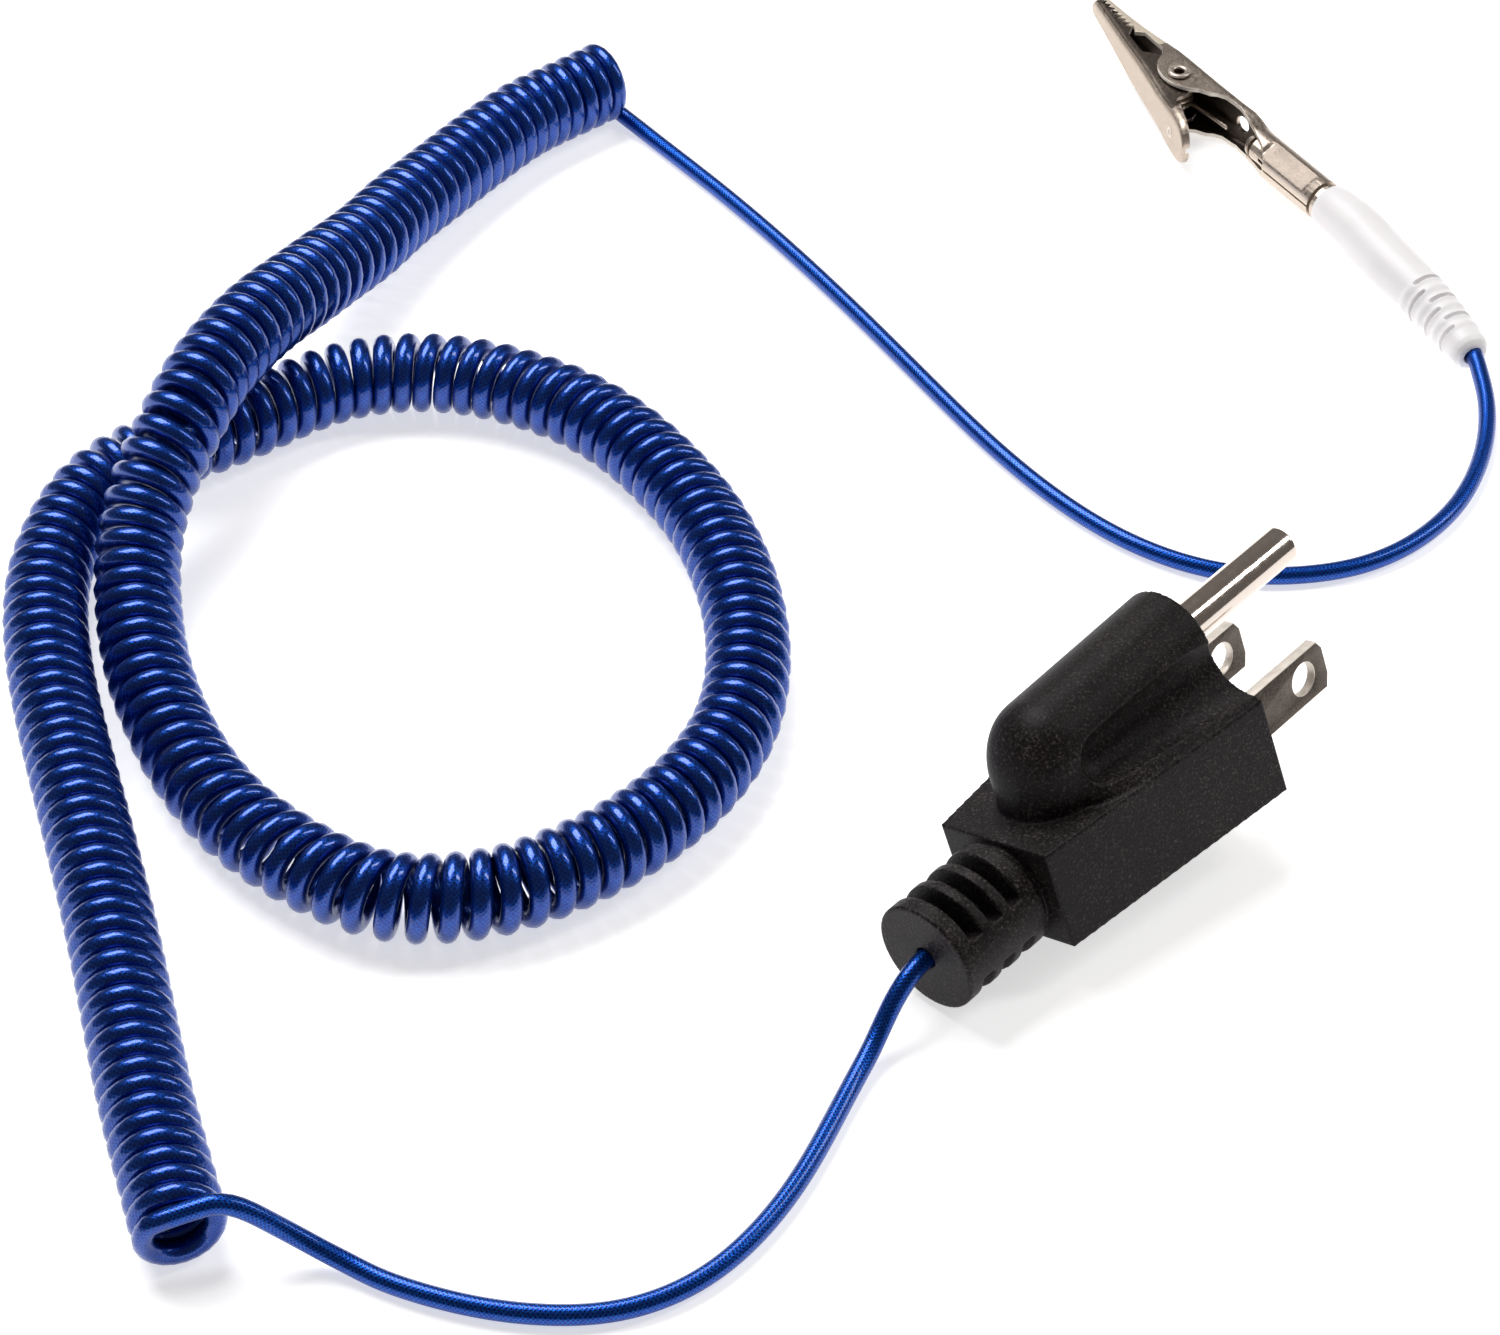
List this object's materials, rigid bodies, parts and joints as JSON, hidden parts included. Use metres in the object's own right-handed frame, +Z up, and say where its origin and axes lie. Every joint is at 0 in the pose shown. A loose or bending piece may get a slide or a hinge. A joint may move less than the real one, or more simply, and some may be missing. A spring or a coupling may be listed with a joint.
{
  "type": "coiled grounding cord",
  "caption": "Coiled static-control grounding cord with a grounded three-prong plug at one end and an alligator clip on a banana plug at the other.",
  "frame": {"origin": "on the surface the cord lies on, under the middle of the plug, boot and clip", "axes": "+Z up from the surface, +Y from the plug's end towards the clip's jaws, +X from the coil towards the plug and clip"},
  "size_m": [0.1896, 0.2404, 0.0282],
  "materials": {
    "black_pvc": "fine-grained moulded PVC",
    "nylon": "plain moulded nylon",
    "nickel_plate": "nickel plating, lightly brushed in places",
    "spring_steel": "drawn wire",
    "green_insulation": "extruded insulation",
    "tinned_copper": "dull tinned metal",
    "resistor_coat": "satin coating",
    "blue_polyurethane": "glossy, slightly clear polyurethane over a wound conductor",
    "white_pvc": "satin moulded PVC"
  },
  "bodies": {
    "plug_and_cord": {"plug_housing": "black_pvc", "plug_insert": "nylon", "blade_left": "nickel_plate", "blade_right": "nickel_plate", "ground_pin": "nickel_plate", "ground_wire": "green_insulation", "ground_crimp": "tinned_copper", "resistor_body": "resistor_coat", "resistor_lead_front": "tinned_copper", "resistor_lead_rear": "tinned_copper", "resistor_sleeve": "nylon", "cord_crimp": "tinned_copper", "cord_end_plug": "blue_polyurethane", "cord_lead_plug": "blue_polyurethane", "cord_coil": "blue_polyurethane", "cord_lead_clip": "blue_polyurethane", "cord_end_clip": "blue_polyurethane", "clip_boot": "white_pvc", "banana_body": "nickel_plate"},
    "lantern": {"banana_cage": "nickel_plate"},
    "clip": {"clip_frame": "nickel_plate", "clip_rivet": "nickel_plate", "clip_spring": "spring_steel"},
    "jaw": {"clip_jaw": "nickel_plate"}
  },
  "joints": [
    {"name": "clip_swivel", "type": "hinge", "parent": "plug_and_cord", "child": "lantern", "pos_m": [0.0224, 0.0504, 0.00435], "axis": [-0.524, 0.8517, 0], "continuous": true},
    {"name": "clip_pull_off", "type": "slide", "parent": "lantern", "child": "clip", "axis": [-0.524, 0.8517, 0], "range_m": [0, 0.03]},
    {"name": "jaw_pivot", "type": "hinge", "parent": "clip", "child": "jaw", "pos_m": [0.00428, 0.07565, 0.00435], "axis": [0, 0, 1], "range_deg": [0, 28], "stiffness_Nm_per_rad": 0.2, "springref_deg": -28.65, "deforming": ["clip_spring"]}
  ]
}
